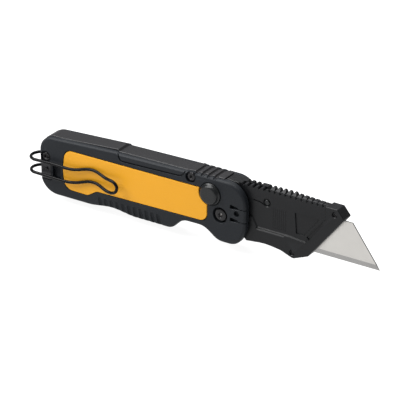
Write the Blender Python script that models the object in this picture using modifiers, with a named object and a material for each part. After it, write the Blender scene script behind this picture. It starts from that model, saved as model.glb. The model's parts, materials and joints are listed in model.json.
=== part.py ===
"""Folding utility knife with a button lock, a sliding trapezoid blade and a wire belt clip.

The knife stands open on its belly: +X runs to the blade's tip, +Z to the spine, and the clip and
button side faces -Y.  Shapes are worked out in millimetres about the pivot axis, in the middle
plane of the blade, and one parent empty carries the whole knife to its place in the world.
"""
import math

import bmesh
import bpy
from mathutils import Matrix, Vector

MM = 0.001

# Driving dimensions, millimetres, measured from the pivot axis and the blade's middle plane
TIP_X = 76.4            # blade tip in front of the pivot
BLADE_LENGTH = 61.0     # standard trapezoid blade, along its cutting edge
BLADE_BACK = 33.5
BLADE_HEIGHT = 18.9
BLADE_THICK = 0.6
EDGE_Z = -8.2           # cutting edge below the pivot
BUTT_X = -96.5          # rear end of the handle
FRONT_X = 13.1          # front end of the handle's sides
BELLY_Z = -13.5         # the handle's lowest line
GUARD_Z = -13.0         # lowest line of the bulge below the pivot
FACE_Y = 6.25           # half the handle's thickness
SLOT_Y = 3.3            # half the slot between the shells
CARRIER_Y = 3.0         # half the carrier's thickness
GAP = 0.3               # clearance between pieces that touch
RAIL_Y = 4.0            # half the spine spacer's width
SPACER_UNDER = 12.9     # underside of the spine spacer
TANG_RADIUS = 7.0
BUTTON = (-5.1, 8.9)
BUTTON_RADIUS = 5.0
NOTCH_RADIUS = 5.9      # notch of the inlay round the button
SPINE_SCREW = (-15.3, 14.3)
BUTT_SCREW_LEFT = (-92.8, 4.3)
BUTT_SCREW_RIGHT = (-88.4, -0.6)
WIRE = 1.5              # clip wire diameter
LOOP_RADIUS = 4.6       # half circles of the clip behind the butt
LOOP_X = -97.4          # their centre
CLIP_SIDE_Y = -8.3      # the clip wire beside the near face
CLIP_LOW = (-3.8, 2.6)  # heights of the clip's two wires at the butt
RELEASE = (21.8, 10.5)
FRONT_RIVET = (55.2, 13.5)
LOW_RIVET = (34.4, -10.1)
TOOTH_PITCH = 2.67
THUMB_PITCH = 3.2

LOOP_END = LOOP_X - LOOP_RADIUS - WIRE / 2
CLIP_TIP_Y = -10.0
FAR_Y = FACE_Y + 0.1
PIVOT_AT = Vector((-(TIP_X + LOOP_END) / 2, -(FAR_Y + CLIP_TIP_Y - WIRE / 2) / 2, -BELLY_Z)) * MM

for old in list(bpy.data.objects):
    bpy.data.objects.remove(old, do_unlink=True)

parts = bpy.data.collections.new("utility_knife")
cutters = bpy.data.collections.new("cutters")
bpy.context.scene.collection.children.link(parts)
bpy.context.scene.collection.children.link(cutters)


# ---------------------------------------------------------------- helpers

def material(name, colour, roughness, metallic):
    made = bpy.data.materials.new(name)
    made.use_nodes = True
    shader = made.node_tree.nodes["Principled BSDF"]
    shader.inputs["Base Color"].default_value = (*colour, 1)
    shader.inputs["Roughness"].default_value = roughness
    shader.inputs["Metallic"].default_value = metallic
    return made


LOOKS = {
    "handle": ((0.035, 0.037, 0.042), 0.5, 0.0),
    "panel": ((0.86, 0.43, 0.035), 0.45, 0.0),
    "black_metal": ((0.02, 0.02, 0.023), 0.32, 0.6),
    "spine": ((0.05, 0.051, 0.056), 0.42, 0.3),
    "screw": ((0.03, 0.03, 0.034), 0.28, 0.8),
    "wire": ((0.018, 0.018, 0.02), 0.25, 0.7),
    "steel": ((0.58, 0.57, 0.54), 0.3, 1.0),
    "brass": ((0.7, 0.5, 0.22), 0.35, 1.0),
    "spring_steel": ((0.45, 0.45, 0.46), 0.3, 1.0),
}


def place(thing, collection):
    for owner in list(thing.users_collection):
        owner.objects.unlink(thing)
    collection.objects.link(thing)
    if collection is cutters:
        thing.hide_render = True
        thing.display_type = "WIRE"


def empty(name, x=0.0, y=0.0, z=0.0, parent=None):
    made = bpy.data.objects.new(name, None)
    made.empty_display_size = 0.005
    made.location = Vector((x, y, z)) * MM
    made.parent = parent
    parts.objects.link(made)
    return made


def finish(thing, parent, look):
    """Give a part its own material and hang it on a parent empty, which becomes its origin."""
    thing.data.materials.clear()
    thing.data.materials.append(material(thing.name, *LOOKS[look]))
    place(thing, parts)
    if parent is not knife:
        thing.location = thing.location - parent.location
        if not thing.location.length < 1e-9 and thing.rotation_euler.x == 0:
            thing.data.transform(Matrix.Translation(thing.location))
            thing.location = (0, 0, 0)
    thing.parent = parent
    return thing


def fillet(corners):
    """Outline points from corners (x, z, radius), each rounded by an arc of that radius.

    A radius is cut down where a side is too short for it.
    """
    points = []
    count = len(corners)
    for index, (x, z, radius) in enumerate(corners):
        here = Vector((x, z))
        before = Vector(corners[index - 1][:2]) - here
        after = Vector(corners[(index + 1) % count][:2]) - here
        angle = before.angle(after)
        if radius == 0 or angle > math.radians(178):
            points.append(here)
            continue
        reach = min(radius / math.tan(angle / 2), 0.49 * before.length, 0.49 * after.length)
        radius = reach * math.tan(angle / 2)
        before.normalize()
        after.normalize()
        centre = here + (before + after).normalized() * radius / math.sin(angle / 2)
        start = here + before * reach - centre
        end = here + after * reach - centre
        turn = math.pi - angle
        if start.x * end.y - start.y * end.x < 0:
            turn = -turn
        steps = max(2, round(abs(turn) / math.radians(14)))
        for step in range(steps + 1):
            angle_here = turn * step / steps
            cos, sin = math.cos(angle_here), math.sin(angle_here)
            points.append(centre + Vector((start.x * cos - start.y * sin, start.x * sin + start.y * cos)))
    return points


def arc(x, z, radius, first, last, steps):
    """Points of an arc about (x, z), from the first angle to the last, in degrees."""
    made = []
    for step in range(steps + 1):
        angle = math.radians(first + (last - first) * step / steps)
        made.append(Vector((x + radius * math.cos(angle), z + radius * math.sin(angle))))
    return made


def plate(name, outline, near, far, holes=(), collection=parts):
    """A flat outline in X and Z, filled from Y = near to Y = far, as a mesh."""
    curve = bpy.data.curves.new(name, "CURVE")
    curve.dimensions = "2D"
    curve.fill_mode = "BOTH"
    curve.extrude = (far - near) / 2 * MM
    for loop in (outline, *holes):
        spline = curve.splines.new("POLY")
        spline.points.add(len(loop) - 1)
        for point, corner in zip(spline.points, loop):
            point.co = (corner[0] * MM, corner[1] * MM, 0, 1)
        spline.use_cyclic_u = True
    flat = bpy.data.objects.new(name + "_curve", curve)
    parts.objects.link(flat)
    flat.rotation_euler = (math.pi / 2, 0, 0)
    flat.location = (0, (near + far) / 2 * MM, 0)
    bpy.context.view_layer.update()
    mesh = bpy.data.meshes.new_from_object(flat.evaluated_get(bpy.context.evaluated_depsgraph_get()))
    mesh.transform(flat.matrix_world)
    mesh.name = name
    bpy.data.objects.remove(flat, do_unlink=True)
    weld(mesh)
    solid = bpy.data.objects.new(name, mesh)
    place(solid, collection)
    return solid


def weld(mesh):
    shape = bmesh.new()
    shape.from_mesh(mesh)
    bmesh.ops.remove_doubles(shape, verts=shape.verts, dist=1e-6)
    bmesh.ops.recalc_face_normals(shape, faces=shape.faces)
    shape.to_mesh(mesh)
    shape.free()


def round_rim(solid, y, width, segments=2):
    """Round the edges of a plate that lie on the face at Y = y."""
    shape = bmesh.new()
    shape.from_mesh(solid.data)
    rim = []
    for edge in shape.edges:
        on_face = all(abs(v.co.y - y * MM) < 1e-6 for v in edge.verts)
        if on_face and edge.calc_face_angle(0) > 0.5:
            rim.append(edge)
    bmesh.ops.bevel(shape, geom=rim, offset=width * MM, segments=segments, profile=0.5,
                    affect="EDGES", clamp_overlap=True)
    shape.to_mesh(solid.data)
    shape.free()
    return solid


def cylinder(name, x, z, radius, near, far, collection=parts, sides=40):
    bpy.ops.mesh.primitive_cylinder_add(
        vertices=sides, radius=radius * MM, depth=(far - near) * MM,
        location=(x * MM, (near + far) / 2 * MM, z * MM), rotation=(math.pi / 2, 0, 0))
    made = bpy.context.object
    made.name = name
    place(made, collection)
    return made


def turned(name, x, z, profile, sides=36):
    """A piece turned about Y: a profile of (radius, height), height counted towards the clip side."""
    mesh = bpy.data.meshes.new(name)
    points = [(radius * MM, 0, height * MM) for radius, height in profile]
    mesh.from_pydata(points, [(i, i + 1) for i in range(len(points) - 1)], [])
    made = bpy.data.objects.new(name, mesh)
    parts.objects.link(made)
    made.location = (x * MM, 0, z * MM)
    made.rotation_euler = (math.pi / 2, 0, 0)
    spin = made.modifiers.new("turn", "SCREW")
    spin.axis = "Z"
    spin.steps = sides
    spin.render_steps = sides
    spin.use_merge_vertices = True
    spin.merge_threshold = 0.00001
    return made


def tube(name, points, radius, cyclic=False):
    """A round wire through points in millimetres, as a mesh."""
    curve = bpy.data.curves.new(name, "CURVE")
    curve.dimensions = "3D"
    curve.bevel_depth = radius * MM
    curve.bevel_resolution = 2
    curve.use_fill_caps = not cyclic
    spline = curve.splines.new("POLY")
    spline.points.add(len(points) - 1)
    for point, corner in zip(spline.points, points):
        point.co = (*(Vector(corner) * MM), 1)
    spline.use_cyclic_u = cyclic
    wire = bpy.data.objects.new(name + "_curve", curve)
    parts.objects.link(wire)
    bpy.context.view_layer.update()
    mesh = bpy.data.meshes.new_from_object(wire.evaluated_get(bpy.context.evaluated_depsgraph_get()))
    mesh.name = name
    bpy.data.objects.remove(wire, do_unlink=True)
    weld(mesh)
    made = bpy.data.objects.new(name, mesh)
    parts.objects.link(made)
    return made


def boolean(solid, tool):
    cut = solid.modifiers.new(tool.name, "BOOLEAN")
    cut.operation = "DIFFERENCE"
    cut.object = tool
    tool.parent = knife


def drill(solid, name, x, z, radius, near, far):
    boolean(solid, cylinder(name, x, z, radius, near, far, cutters))


def repeat(tool, count, step_x):
    """Repeat a cutter along X."""
    row = tool.modifiers.new("row", "ARRAY")
    row.count = count
    row.use_relative_offset = False
    row.use_constant_offset = True
    row.constant_offset_displace = (step_x * MM, 0, 0)
    return tool


# ---------------------------------------------------------------- outlines

def handle_outline():
    """Side view of the handle: a spine with a small step, and a belly with two finger hollows."""
    return fillet([
        (BUTT_X, 13.5, 6), (-54.6, 16.0, 0), (-53.8, 15.6, 0), (-19.5, 16.3, 20), (-11.5, 16.5, 10),
        (FRONT_X, 16.5, 11), (12.8, -4.5, 12), (8.9, GUARD_Z, 7), (-1.6, GUARD_Z, 8), (-8.6, -7.8, 9),
        (-19.9, -7.9, 7), (-25.7, BELLY_Z, 5), (-46.5, BELLY_Z, 20), (-57.5, -11.8, 25),
        (-68.5, BELLY_Z, 20), (BUTT_X, BELLY_Z, 7.5)])


def panel_outline(margin=0.0):
    """The coloured inlay: rounded, with a deeper rear end and a round notch beside the button."""
    m = margin
    body = fillet([
        (-6.5 + m, 3.0, 0), (-6.5 + m, -5.1 - m, 3.0), (-65.3, -5.9 - m, 3), (-70.2, -8.9 - m, 3),
        (-82.8 - m, -8.7 - m, 4.5), (-84.0 - m, 0.5, 12), (-82.8 - m, 10.8 + m, 3.5),
        (-10.9 + m, 11.0 + m, 0)])
    return body + arc(*BUTTON, NOTCH_RADIUS - m, 158, 256, 9)


def carrier_outline():
    """Side view of the blade carrier, from its heel over the spine to the nose and round the tang."""
    shell = fillet([
        (0.35, 16.9, 0.5), (8.2, 16.3, 4), (56.8, 16.4, 0.9), (60.1, 12.3, 0.7),
        (42.6, -9.7, 1.0), (35.0, -12.8, 2.5), (28.8, -10.5, 5), (21.0, -9.4, 25),
        (11.3, -10.5, 0.6), (5.4, -4.5, 0)])
    return shell + arc(0, 0, TANG_RADIUS, -42, -270, 20)


# ---------------------------------------------------------------- handle

def make_shell(name, side):
    """One handle shell: side is -1 for the clip side and 1 for the far side."""
    outer = side * FACE_Y
    near, far = sorted((outer, side * SLOT_Y))
    shell = round_rim(plate(name, handle_outline(), near, far), outer, 1.3)
    over = side * (FACE_Y + 1)
    low, high = sorted((side * 4.65, over))
    boolean(shell, plate(name + "_pocket", panel_outline(GAP), low, high, collection=cutters))
    low, high = sorted((side * (SLOT_Y - 1), side * (RAIL_Y + GAP)))
    rebate = fillet([(-110, SPACER_UNDER - GAP, 0), (0.3, SPACER_UNDER - GAP, 0), (0.3, 30, 0),
                     (-110, 30, 0)])
    boolean(shell, plate(name + "_rebate", rebate, low, high, collection=cutters))
    low, high = sorted((side * 5.2, over))
    hollow = fillet([(-53.6, 19, 0), (-52.4, 13.3, 1.2), (-20.2, 13.6, 1.2), (-18.0, 19, 0)])
    boolean(shell, plate(name + "_recess", hollow, low, high, collection=cutters))
    low, high = sorted((side * 5.6, over))
    rib = fillet([(-63.9, -8.6, 0), (-62.7, -8.6, 0), (-61.9, -15, 0), (-63.1, -15, 0)])
    ribs = plate(name + "_ribs", rib, low, high, collection=cutters)
    boolean(shell, repeat(ribs, 11, 3.12))
    low, high = sorted((side * (SLOT_Y - 1), over))
    drill(shell, name + "_pivot_hole", 0, 0, 2.8, low, high)
    drill(shell, name + "_spine_hole", *SPINE_SCREW, 1.9, low, high)
    butt_screw = BUTT_SCREW_LEFT if side < 0 else BUTT_SCREW_RIGHT
    drill(shell, name + "_butt_hole", *butt_screw, 1.4, low, high)
    low, high = sorted((side * 4.2, over))
    drill(shell, name + "_pivot_recess", 0, 0, 3.7, low, high)
    low, high = sorted((side * 5.0, over))
    drill(shell, name + "_spine_recess", *SPINE_SCREW, 2.6, low, high)
    drill(shell, name + "_butt_recess", *butt_screw, 2.7, low, high)
    return shell


def make_near_shell():
    shell = make_shell("handle_shell_left", -1)
    drill(shell, "button_counterbore", *BUTTON, BUTTON_RADIUS + GAP, -FACE_Y - 2, -4.0)
    drill(shell, "button_stem_hole", *BUTTON, 1.9, -5, -SLOT_Y + 1)
    for index, z in enumerate((5.3, -0.5)):
        groove = fillet([(5.2, z + 0.45, 0.4), (19, z + 0.3, 0), (19, z - 0.3, 0), (5.2, z - 0.45, 0.4)])
        boolean(shell, plate(f"tongue_slot_{index}", groove, -FACE_Y - 1, -5.0, collection=cutters))
    drill(shell, "tongue_hole", 8.4, 2.6, 1.1, -FACE_Y - 1, -5.0)
    seat = fillet([(-100, 1.5, 0), (-90.1, 1.5, 0.6), (-90.1, -6.9, 0.6), (-100, -6.9, 0)])
    boolean(shell, plate("keeper_seat", seat, -FACE_Y - 1, -5.1, collection=cutters))
    hollow = fillet([(-89.4, 1.4, 0.4), (-84.9, 1.4, 0.4), (-84.9, -5.6, 0.4), (-89.4, -5.6, 0.4)])
    boolean(shell, plate("butt_hollow", hollow, -FACE_Y - 1, -4.9, collection=cutters))
    return finish(shell, knife, "handle")


def make_far_shell():
    shell = make_shell("handle_shell_right", 1)
    drill(shell, "plunger_pocket", *BUTTON, 3.3, SLOT_Y - 1, 5.5)
    return finish(shell, knife, "handle")


def make_panels():
    for name, side in (("side_panel_left", -1), ("side_panel_right", 1)):
        outer = side * FAR_Y
        near, far = sorted((outer, side * 4.95))
        panel = round_rim(plate(name, panel_outline(), near, far), outer, 0.25, 1)
        finish(panel, knife, "panel")


def make_spacer():
    """The spine: a rail between the shells, with thumb grooves at its front end."""
    butt = arc(-88.0, 6.0, 8.4, 163.4, 94, 8)
    outline = butt + fillet([
        (-84.0, 14.6, 0), (-54.8, 16.85, 0), (-54.3, 16.05, 0), (-19.5, 16.6, 20), (-12.5, 17.0, 8),
        (0.0, 17.0, 0), (0.0, SPACER_UNDER, 0), (-12.1, SPACER_UNDER, 0), (-12.7, 11.6, 0),
        (-17.9, 11.6, 0), (-18.5, SPACER_UNDER, 0), (-84.0, SPACER_UNDER, 3), (-90.5, 8.4, 0)])
    spacer = plate("spine_spacer", outline, -RAIL_Y, RAIL_Y)
    for side in (-1, 1):
        low, high = sorted((side * (SLOT_Y - GAP), side * 6))
        top = SPACER_UNDER + 0.1
        under = fillet([(-110, 0, 0), (5, 0, 0), (5, top, 0), (-110, top, 0)])
        boolean(spacer, plate(f"spacer_trim_{side}", under, low, high, collection=cutters))
    groove = fillet([(-13.3, 16.25, 0), (-12.3, 16.25, 0), (-11.9, 19, 0), (-13.7, 19, 0)])
    grooves = plate("thumb_grooves", groove, -6, 6, collection=cutters)
    boolean(spacer, repeat(grooves, 4, THUMB_PITCH))
    drill(spacer, "spacer_screw_hole", *SPINE_SCREW, 1.9, -6, 6)
    return finish(spacer, knife, "spine")


def make_butt_block():
    """The block that closes the butt, holds the clip's two tails and takes the two butt screws."""
    outline = fillet([(BUTT_X + 0.5, 8.0, 0), (-90.6, 8.0, 0), (-84.4, 11.9, 1),
                      (-80.0, 11.9, 1.5), (-80.0, -11.5, 2), (-90.5, -11.5, 2),
                      (BUTT_X + 0.5, -6.6, 2)])
    body = plate("butt_block", outline, -SLOT_Y + GAP, SLOT_Y - GAP)
    drill(body, "butt_block_left_hole", *BUTT_SCREW_LEFT, 1.3, -6, -0.8)
    drill(body, "butt_block_right_hole", *BUTT_SCREW_RIGHT, 1.3, 0.8, 6)
    for index, z in enumerate(CLIP_LOW):
        bpy.ops.mesh.primitive_cylinder_add(
            vertices=24, radius=1.2 * MM, depth=24 * MM,
            location=(-100.0 * MM, CLIP_FAR_Y * MM, z * MM), rotation=(0, math.pi / 2, 0))
        hole = bpy.context.object
        hole.name = f"clip_tail_hole_{index}"
        place(hole, cutters)
        boolean(body, hole)
    return finish(body, knife, "handle")


def screw_profile(head_radius, top, head, shank_radius, end):
    """A flat-topped screw with a round drive recess."""
    return [(0, top - 0.8), (head_radius * 0.42, top - 0.8), (head_radius * 0.42, top),
            (head_radius - 0.25, top), (head_radius, top - 0.25), (head_radius, top - head),
            (shank_radius, top - head), (shank_radius, end), (0, end)]


def nut_profile(head_radius, bottom, head, sleeve_radius, bore_radius, top, bore_end):
    """A sleeve nut: its bore opens towards the clip side, and its head sits in the far shell."""
    return [(0, bore_end), (bore_radius, bore_end), (bore_radius, top), (sleeve_radius, top),
            (sleeve_radius, bottom + head), (head_radius, bottom + head),
            (head_radius, bottom + 0.25), (head_radius - 0.25, bottom), (0, bottom)]


def make_fasteners():
    barrel = turned("pivot_barrel", 0, 0, nut_profile(3.3, -5.9, 1.3, 2.5, 1.8, 4.2, -3.2))
    finish(barrel, knife, "screw")
    finish(turned("pivot_screw", 0, 0, screw_profile(3.0, 5.8, 1.3, 1.5, -2.8)), knife, "screw")
    finish(turned("spine_screw", *SPINE_SCREW, screw_profile(2.3, 6.1, 0.8, 1.0, -3.4), 28), knife, "screw")
    sleeve = nut_profile(2.0, -6.1, 0.8, 1.6, 1.3, 4.9, -3.8)
    finish(turned("spine_screw_nut", *SPINE_SCREW, sleeve, 28), knife, "screw")
    butt_profile = screw_profile(2.3, 6.1, 0.8, 1.0, 1.2)
    finish(turned("butt_screw_left", *BUTT_SCREW_LEFT, butt_profile, 28), knife, "screw")
    far_screw = turned("butt_screw_right", *BUTT_SCREW_RIGHT, butt_profile, 28)
    far_screw.rotation_euler = (-math.pi / 2, 0, 0)
    finish(far_screw, knife, "screw")
    for name, near in (("pivot_washer_left", -3.0), ("pivot_washer_right", 2.5)):
        ring = plate(name, arc(0, 0, 5.0, 360, 10, 35), near, near + 0.5,
                     [arc(0, 0, 2.8, 360, 10, 35)])
        finish(ring, knife, "brass")


def make_keeper():
    """The small smooth plate let into the near shell at the butt, beside the clip."""
    outline = fillet([(BUTT_X + 0.9, 1.2, 0.5), (-90.4, 1.2, 0.5), (-90.4, -6.6, 0.5),
                      (BUTT_X + 0.9, -6.6, 0.5)])
    keeper = plate("clip_keeper", outline, -6.1, -5.4, [arc(-92.1, -1.1, 0.8, 360, 15, 23)])
    return finish(keeper, knife, "spine")


# ---------------------------------------------------------------- lock button

def make_lock():
    x, z = BUTTON
    cap = [(0, 8.7), (2.2, 8.65), (3.2, 8.5), (3.8, 8.2), (4.4, 7.5), (4.8, 6.9),
           (BUTTON_RADIUS, 6.4), (BUTTON_RADIUS, 5.9), (0, 5.9)]
    finish(turned("lock_button", x, z, cap), lock_axis, "black_metal")
    stem = [(0, 5.6), (1.5, 5.6), (1.5, 2.6), (3.0, 2.6), (3.0, -2.6), (0, -2.6)]
    finish(turned("lock_plunger", x, z, stem, 32), lock_axis, "steel")
    turns = 4
    coil = []
    for step in range(turns * 12 + 1):
        angle = step * math.pi / 6
        coil.append((x + 1.9 * math.cos(angle), 3.15 + step * 2.05 / (turns * 12),
                     z + 1.9 * math.sin(angle)))
    finish(tube("lock_spring", coil, 0.2), knife, "spring_steel")


# ---------------------------------------------------------------- belt clip

def clip_path():
    """One bent wire: tail, upper loop, out along the side, the U bend, back, lower loop, tail."""
    low, high = CLIP_LOW
    out = [(-88.2, -8.3, 2.9), (-82.1, -8.3, 2.7), (-78.0, -8.1, 2.7), (-74.6, -7.8, 3.2),
           (-71.6, -7.4, 4.0), (-69.2, -7.3, 4.6), (-66.7, -7.3, 4.9), (-64.2, -7.5, 4.7),
           (-61.4, -7.9, 4.0), (-58.6, -8.6, 3.5), (-55.6, -9.4, 3.5)]
    bend = [(-53.4, -9.8, 3.2), (-52.1, -10.0, 2.2), (-51.7, -10.0, 0.9), (-52.1, -10.0, -0.6),
            (-53.3, -9.8, -1.8), (-55.1, -9.4, -2.5)]
    back = [(-57.6, -9.0, -2.6), (-60.2, -8.4, -2.1), (-62.4, -8.0, -1.4), (-64.6, -7.6, -1.0),
            (-67.0, -7.4, -1.1), (-69.4, -7.3, -1.5), (-71.8, -7.4, -2.3), (-75.0, -7.7, -3.3),
            (-78.4, -8.0, -3.9), (-82.0, -8.3, -4.0), (-88.3, -8.3, -3.9)]
    first = [(-91.5, CLIP_FAR_Y, high), (-94.5, CLIP_FAR_Y, high)]
    last = [(-94.5, CLIP_FAR_Y, low), (-91.5, CLIP_FAR_Y, low)]
    middle_y = (CLIP_FAR_Y + CLIP_SIDE_Y) / 2
    upper = [(p.x, p.y, high) for p in arc(LOOP_X, middle_y, LOOP_RADIUS, 90, 270, 12)]
    lower = [(p.x, p.y, low) for p in arc(LOOP_X, middle_y, LOOP_RADIUS, 270, 90, 12)]
    return first + upper + out + bend + back + lower + last


def make_clip():
    finish(tube("belt_clip", clip_path(), WIRE / 2), clip_axis, "wire")


# ---------------------------------------------------------------- blade carrier

def make_carrier_half(name, side):
    outer = side * CARRIER_Y
    near, far = sorted((outer, side * 0.6))
    half = round_rim(plate(name, carrier_outline(), near, far), outer, 0.35, 1)
    low, high = sorted((side * 0.1, side * 5))
    drill(half, name + "_pivot_hole", 0, 0, 2.6, low, high)
    drill(half, name + "_front_hole", *FRONT_RIVET, 1.2, low, high)
    drill(half, name + "_low_hole", *LOW_RIVET, 1.2, low, high)
    if side < 0:
        drill(half, "release_hole", *RELEASE, 1.7, -5, -1)
    low, high = sorted((side * 0.1, side * (1.5 if side < 0 else 2.3)))
    drill(half, name + "_release_seat", *RELEASE, 2.1, low, high)
    low, high = sorted((side * 2.2, side * 5))
    drill(half, name + "_washer_recess", 0, 0, 5.3, low, high)
    rows = ((9.4, 16),) if side < 0 else ((10.65, 3), (21.3, 12))
    for index, (x, count) in enumerate(rows):
        groove = fillet([(x - 0.4, 15.4, 0), (x + 0.4, 15.4, 0), (x + 0.9, 19, 0), (x - 0.9, 19, 0)])
        teeth = plate(f"{name}_teeth_{index}", groove, -5, 5, collection=cutters)
        boolean(half, repeat(teeth, count, TOOTH_PITCH))
    if side < 0:
        low, high = -5, -2.5
        window = fillet([(35.0, 9.8, 0.6), (48.6, 9.8, 0.6), (39.8, -0.6, 0.6), (36.4, -0.6, 0.6)])
        boolean(half, plate("carrier_window", window, low, high, collection=cutters))
        slant = fillet([(50.6, 8.4, 0.6), (51.8, 6.6, 0.6), (43.6, -2.6, 0.6), (41.4, -1.0, 0.6)])
        boolean(half, plate("carrier_slant", slant, low, high, collection=cutters))
    return finish(half, fold_axis, "black_metal")


def make_carrier():
    make_carrier_half("carrier_half_left", -1)
    make_carrier_half("carrier_half_right", 1)
    seat = fillet([
        (8.0, 15.1, 1), (55.8, 15.1, 1), (57.6, 12.0, 0.4), (57.2, 11.3, 0.3), (44.6, 11.3, 0.3),
        (44.6, 13.4, 0.3), (24.2, 13.4, 0.3), (24.2, 12.6, 0.3), (18.6, 12.6, 0.3), (18.6, 9.0, 1),
        (14.4, 6.0, 1), (12.8, -8.6, 0.3), (40.8, -8.55, 0.2), (40.0, -9.4, 0.3), (36.8, -10.4, 1),
        (34.4, -12.0, 1.5), (30.6, -10.4, 1.5), (28.6, -9.2, 0.5), (12.0, -9.2, 0.6), (6.0, -2.0, 1),
        (6.0, 8.0, 1)])
    frame = plate("blade_frame", seat, -0.3, 0.3,
                  [arc(*FRONT_RIVET, 1.2, 360, 20, 17), arc(*LOW_RIVET, 1.2, 360, 20, 17)])
    finish(frame, fold_axis, "spring_steel")
    for name, (x, z) in (("front_rivet", FRONT_RIVET), ("lower_rivet", LOW_RIVET)):
        shank = [(0, 2.95), (0.75, 2.95), (1.0, 2.7), (1.0, -2.7), (0.75, -2.95), (0, -2.95)]
        finish(turned(name, x, z, shank, 24), fold_axis, "screw")
    retainer = fillet([(24.6, 13.0, 0.3), (44.2, 13.0, 0.3), (44.2, 11.8, 0.3), (42.8, 11.6, 0.2),
                       (42.5, 11.15, 0), (41.5, 11.15, 0), (41.2, 11.9, 0.2), (24.6, 11.9, 0.3)])
    finish(plate("blade_retainer", retainer, -0.3, 0.3), fold_axis, "spring_steel")


def make_release():
    x, z = RELEASE
    cap = [(0, 2.9), (1.15, 2.9), (1.45, 2.6), (1.45, 1.2), (1.8, 1.2), (1.8, 0.7), (0, 0.7)]
    finish(turned("release_button", x, z, cap, 28), release_axis, "screw")
    coil = []
    for step in range(5 * 12 + 1):
        angle = step * math.pi / 6
        coil.append((x + 0.95 * math.cos(angle), -0.5 + step * 2.5 / 60, z + 0.95 * math.sin(angle)))
    finish(tube("release_spring", coil, 0.12), fold_axis, "spring_steel")


# ---------------------------------------------------------------- blade

def make_blade():
    """A standard trapezoid blade with two notches in its back and a ground edge."""
    top = EDGE_Z + BLADE_HEIGHT
    slope = (BLADE_LENGTH - BLADE_BACK) / 2
    middle = TIP_X - BLADE_LENGTH / 2
    notch = []
    for x in (middle + 3.3, middle - 3.3):
        notch += [(x + 1.1, top, 0), (x + 1.1, top - 2.0, 0.5), (x - 1.1, top - 2.0, 0.5), (x - 1.1, top, 0)]
    outline = fillet([(TIP_X, EDGE_Z, 0), (TIP_X - BLADE_LENGTH, EDGE_Z, 0),
                      (TIP_X - BLADE_LENGTH + slope, top, 0)] + notch[::-1] + [(TIP_X - slope, top, 0)])
    blade = plate("blade", outline, -BLADE_THICK / 2, BLADE_THICK / 2)
    shape = bmesh.new()
    shape.from_mesh(blade.data)
    bmesh.ops.bisect_plane(shape, geom=shape.verts[:] + shape.edges[:] + shape.faces[:], dist=1e-7,
                           plane_co=(0, 0, (EDGE_Z + 2.4) * MM), plane_no=(0, 0, 1))
    for vert in shape.verts:
        if vert.co.z < (EDGE_Z + 0.01) * MM:
            vert.co.y *= 0.1
    shape.to_mesh(blade.data)
    shape.free()
    return finish(blade, fold_axis, "steel")


CLIP_FAR_Y = CLIP_SIDE_Y + 2 * LOOP_RADIUS
knife = empty("knife")
fold_axis = empty("fold_axis", parent=knife)
lock_axis = empty("lock_axis", BUTTON[0], 0, BUTTON[1], knife)
release_axis = empty("release_axis", RELEASE[0], 0, RELEASE[1], knife)
clip_axis = empty("clip_axis", BUTT_X + 0.5, CLIP_FAR_Y, 0, knife)

make_near_shell()
make_far_shell()
make_panels()
make_spacer()
make_butt_block()
make_fasteners()
make_keeper()
make_lock()
make_clip()
make_carrier()
make_release()
make_blade()
knife.location = PIVOT_AT
bpy.context.view_layer.update()
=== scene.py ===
"""Looks for the folding utility knife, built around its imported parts.

Shapes are drawn in millimetres about the carrier's pivot: X to the blade's tip,
Z to the spine, and -Y out of the near side, which has the button and the belt clip.
Where a function takes a side, -1 is the near one and 1 the far one.
"""
import json
import math

import bpy
import bmesh
from mathutils import Matrix, Vector


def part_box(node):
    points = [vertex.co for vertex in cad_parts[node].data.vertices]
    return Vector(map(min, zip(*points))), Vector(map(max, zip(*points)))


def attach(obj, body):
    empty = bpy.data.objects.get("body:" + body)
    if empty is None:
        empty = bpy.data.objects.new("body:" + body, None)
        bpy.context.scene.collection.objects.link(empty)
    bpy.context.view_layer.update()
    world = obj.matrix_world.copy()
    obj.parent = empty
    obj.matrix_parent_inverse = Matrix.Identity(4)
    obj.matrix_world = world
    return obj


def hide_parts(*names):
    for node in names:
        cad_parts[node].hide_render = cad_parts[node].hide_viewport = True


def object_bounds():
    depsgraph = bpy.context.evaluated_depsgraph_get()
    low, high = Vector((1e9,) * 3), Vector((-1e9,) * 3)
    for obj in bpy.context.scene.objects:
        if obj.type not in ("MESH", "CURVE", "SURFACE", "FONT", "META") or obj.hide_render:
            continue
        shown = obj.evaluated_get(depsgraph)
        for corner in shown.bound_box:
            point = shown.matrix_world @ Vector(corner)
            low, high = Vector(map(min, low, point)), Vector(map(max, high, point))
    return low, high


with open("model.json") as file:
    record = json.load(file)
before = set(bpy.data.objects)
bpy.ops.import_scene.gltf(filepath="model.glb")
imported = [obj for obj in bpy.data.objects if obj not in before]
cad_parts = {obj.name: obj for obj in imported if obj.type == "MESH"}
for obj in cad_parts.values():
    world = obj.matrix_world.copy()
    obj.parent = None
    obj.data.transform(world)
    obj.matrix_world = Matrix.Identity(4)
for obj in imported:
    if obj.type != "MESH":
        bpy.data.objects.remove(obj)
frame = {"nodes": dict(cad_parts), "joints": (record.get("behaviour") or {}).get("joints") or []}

cad_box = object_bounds()

MM = 0.001
PIVOT = Vector(next(j["pos_m"] for j in frame["joints"] if j["name"] == "carrier_fold"))

# Distances from the middle plane
FACE_Y = 6.25            # outer face of each handle shell
SLOT_Y = 3.3             # inner face of each handle shell
SEAT_Y = 4.95            # floor under the small screws' heads
INLAY_Y = 6.35           # outer face of each inlay
INLAY_BACK_Y = 4.95      # inner face of each inlay
POCKET_Y = 4.65          # floor of the pocket that an inlay lies in
RAIL_Y = 4.0             # half width of the spine rail
RAIL_FOOT_Y = 3.0        # half width of its foot, between the shells
CARRIER_Y = 3.0          # half thickness of the blade carrier
PAST = 3.0               # how far a cutter runs on past a face

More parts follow.
